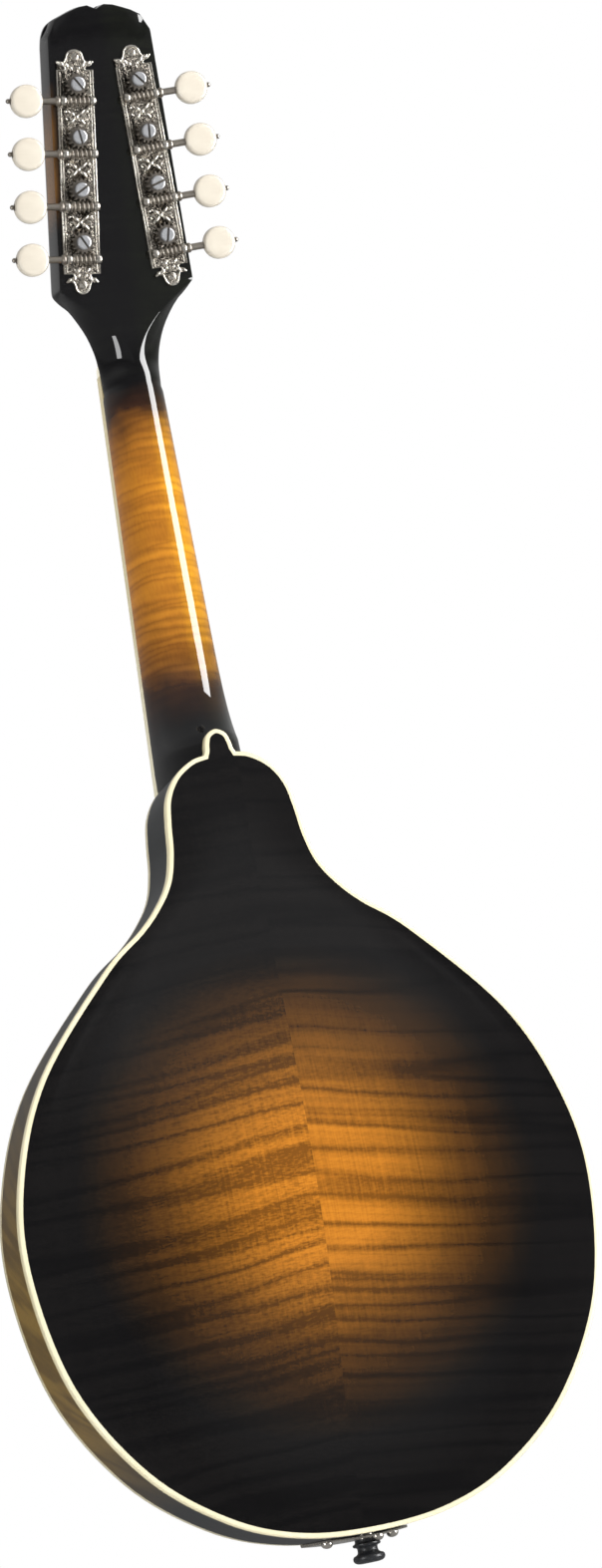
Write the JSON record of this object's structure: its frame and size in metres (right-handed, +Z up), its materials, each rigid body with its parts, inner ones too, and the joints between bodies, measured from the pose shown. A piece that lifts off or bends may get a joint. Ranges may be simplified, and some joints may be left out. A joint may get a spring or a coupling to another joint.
{
  "type": "mandolin",
  "caption": "Teardrop flat-headstock mandolin with carved top and back, oval sound hole, geared tuners, adjustable bridge and sliding tailpiece cover.",
  "frame": {"origin": "centre of the end pin's flat outer face", "axes": "+Z up the centre line from the tail to the headstock, -Y out of the carved top (the side the strings are on), +Y out of the back, +X to the treble side"},
  "size_m": [0.2536, 0.1125, 0.6874],
  "materials": {
    "flamed_maple": "gloss sunburst lacquer over flamed maple",
    "spruce": "gloss lacquered spruce",
    "rim_maple": "dark gloss lacquer over maple",
    "ivory_binding": "ivory coloured plastic",
    "lining_wood": "raw wood",
    "spruce_brace": "raw spruce",
    "neck_maple": "gloss lacquer, amber shading to black",
    "black_lacquer": "black gloss lacquer",
    "truss_steel": "plain steel",
    "black_plastic": "black plastic",
    "ebony": "oiled ebony",
    "bone": "polished bone",
    "nickel": "engraved nickel plate",
    "cream_button": "cream plastic",
    "brass": "turned brass",
    "bronze_wire": "bronze wound wire",
    "plain_wire": "plain steel wire"
  },
  "bodies": {
    "body": {"back_plate": "flamed_maple", "top_plate": "spruce", "rim": "rim_maple", "back_binding": "ivory_binding", "top_binding": "ivory_binding", "neck_block": "lining_wood", "tail_block": "lining_wood", "back_lining": "lining_wood", "top_lining": "lining_wood", "cross_brace": "spruce_brace", "neck": "neck_maple", "headstock_overlay": "black_lacquer", "truss_rod": "truss_steel", "truss_rod_cover": "black_plastic", "fingerboard": "ebony", "fingerboard_binding": "ivory_binding", "nut": "bone", "bridge_base": "ebony", "bridge_post_bass": "brass", "bridge_post_treble": "brass", "tailpiece_base": "nickel", "end_pin": "black_plastic", "tuner_plate_bass": "nickel", "tuner_plate_treble": "nickel", "string_g1": "bronze_wire", "string_g2": "bronze_wire", "string_d1": "bronze_wire", "string_d2": "bronze_wire", "string_a1": "plain_wire", "string_a2": "plain_wire", "string_e1": "plain_wire", "string_e2": "plain_wire"},
    "tuner_g1": {"worm_shaft_g1": "nickel", "tuner_button_g1": "cream_button"},
    "post_g1": {"gear_post_g1": "nickel"},
    "tuner_g2": {"worm_shaft_g2": "nickel", "tuner_button_g2": "cream_button"},
    "post_g2": {"gear_post_g2": "nickel"},
    "tuner_d1": {"worm_shaft_d1": "nickel", "tuner_button_d1": "cream_button"},
    "post_d1": {"gear_post_d1": "nickel"},
    "tuner_d2": {"worm_shaft_d2": "nickel", "tuner_button_d2": "cream_button"},
    "post_d2": {"gear_post_d2": "nickel"},
    "tuner_a1": {"worm_shaft_a1": "nickel", "tuner_button_a1": "cream_button"},
    "post_a1": {"gear_post_a1": "nickel"},
    "tuner_a2": {"worm_shaft_a2": "nickel", "tuner_button_a2": "cream_button"},
    "post_a2": {"gear_post_a2": "nickel"},
    "tuner_e1": {"worm_shaft_e1": "nickel", "tuner_button_e1": "cream_button"},
    "post_e1": {"gear_post_e1": "nickel"},
    "tuner_e2": {"worm_shaft_e2": "nickel", "tuner_button_e2": "cream_button"},
    "post_e2": {"gear_post_e2": "nickel"},
    "saddle": {"bridge_saddle": "ebony"},
    "wheel_treble": {"bridge_wheel_treble": "brass"},
    "wheel_bass": {"bridge_wheel_bass": "brass"},
    "cover": {"tailpiece_cover": "nickel"}
  },
  "joints": [
    {"name": "button_turn_g1", "type": "hinge", "parent": "body", "child": "tuner_g1", "pos_m": [-0.01974, 0.03236, 0.57588], "axis": [-0.9971, 0.0237, 0.0717], "continuous": true},
    {"name": "post_turn_g1", "type": "hinge", "parent": "body", "child": "post_g1", "pos_m": [-0.01919, 0.01604, 0.58893], "axis": [0, 0.9493, -0.3143], "continuous": true},
    {"name": "button_turn_g2", "type": "hinge", "parent": "body", "child": "tuner_g2", "pos_m": [-0.018, 0.03957, 0.59765], "axis": [-0.9971, 0.0237, 0.0717], "continuous": true},
    {"name": "post_turn_g2", "type": "hinge", "parent": "body", "child": "post_g2", "pos_m": [-0.01745, 0.02325, 0.6107], "axis": [0, 0.9493, -0.3143], "continuous": true},
    {"name": "button_turn_d1", "type": "hinge", "parent": "body", "child": "tuner_d1", "pos_m": [-0.01627, 0.04678, 0.61942], "axis": [-0.9971, 0.0237, 0.0717], "continuous": true},
    {"name": "post_turn_d1", "type": "hinge", "parent": "body", "child": "post_d1", "pos_m": [-0.01572, 0.03045, 0.63248], "axis": [0, 0.9493, -0.3143], "continuous": true},
    {"name": "button_turn_d2", "type": "hinge", "parent": "body", "child": "tuner_d2", "pos_m": [-0.01453, 0.05399, 0.6412], "axis": [-0.9971, 0.0237, 0.0717], "continuous": true},
    {"name": "post_turn_d2", "type": "hinge", "parent": "body", "child": "post_d2", "pos_m": [-0.01398, 0.03766, 0.65425], "axis": [0, 0.9493, -0.3143], "continuous": true},
    {"name": "button_turn_a1", "type": "hinge", "parent": "body", "child": "tuner_a1", "pos_m": [0.01453, 0.05399, 0.6412], "axis": [0.9971, 0.0237, 0.0717], "continuous": true},
    {"name": "post_turn_a1", "type": "hinge", "parent": "body", "child": "post_a1", "pos_m": [0.01398, 0.03766, 0.65425], "axis": [0, 0.9493, -0.3143], "continuous": true},
    {"name": "button_turn_a2", "type": "hinge", "parent": "body", "child": "tuner_a2", "pos_m": [0.01627, 0.04678, 0.61942], "axis": [0.9971, 0.0237, 0.0717], "continuous": true},
    {"name": "post_turn_a2", "type": "hinge", "parent": "body", "child": "post_a2", "pos_m": [0.01572, 0.03045, 0.63248], "axis": [0, 0.9493, -0.3143], "continuous": true},
    {"name": "button_turn_e1", "type": "hinge", "parent": "body", "child": "tuner_e1", "pos_m": [0.018, 0.03957, 0.59765], "axis": [0.9971, 0.0237, 0.0717], "continuous": true},
    {"name": "post_turn_e1", "type": "hinge", "parent": "body", "child": "post_e1", "pos_m": [0.01745, 0.02325, 0.6107], "axis": [0, 0.9493, -0.3143], "continuous": true},
    {"name": "button_turn_e2", "type": "hinge", "parent": "body", "child": "tuner_e2", "pos_m": [0.01974, 0.03236, 0.57588], "axis": [0.9971, 0.0237, 0.0717], "continuous": true},
    {"name": "post_turn_e2", "type": "hinge", "parent": "body", "child": "post_e2", "pos_m": [0.01919, 0.01604, 0.58893], "axis": [0, 0.9493, -0.3143], "continuous": true},
    {"name": "saddle_height", "type": "slide", "parent": "body", "child": "saddle", "axis": [0, -1, 0], "range_m": [-0.0015, 0]},
    {"name": "wheel_turn_treble", "type": "hinge", "parent": "saddle", "child": "wheel_treble", "pos_m": [0.03, -0.0444, 0.181], "axis": [0, -1, 0], "range_deg": [-676, 0]},
    {"name": "wheel_turn_bass", "type": "hinge", "parent": "saddle", "child": "wheel_bass", "pos_m": [-0.03, -0.0444, 0.181], "axis": [0, -1, 0], "range_deg": [-676, 0]},
    {"name": "cover_slide", "type": "slide", "parent": "body", "child": "cover", "axis": [0, 0, -1], "range_m": [0, 0.04]}
  ],
  "couplings": [
    {"joint": "post_turn_g1", "follows": "button_turn_g1", "ratio": -0.066667},
    {"joint": "post_turn_g2", "follows": "button_turn_g2", "ratio": -0.066667},
    {"joint": "post_turn_d1", "follows": "button_turn_d1", "ratio": -0.066667},
    {"joint": "post_turn_d2", "follows": "button_turn_d2", "ratio": -0.066667},
    {"joint": "post_turn_a1", "follows": "button_turn_a1", "ratio": 0.066667},
    {"joint": "post_turn_a2", "follows": "button_turn_a2", "ratio": 0.066667},
    {"joint": "post_turn_e1", "follows": "button_turn_e1", "ratio": 0.066667},
    {"joint": "post_turn_e2", "follows": "button_turn_e2", "ratio": 0.066667},
    {"joint": "wheel_turn_treble", "follows": "saddle_height", "rad_per_m": 7854},
    {"joint": "wheel_turn_bass", "follows": "saddle_height", "rad_per_m": 7854}
  ]
}
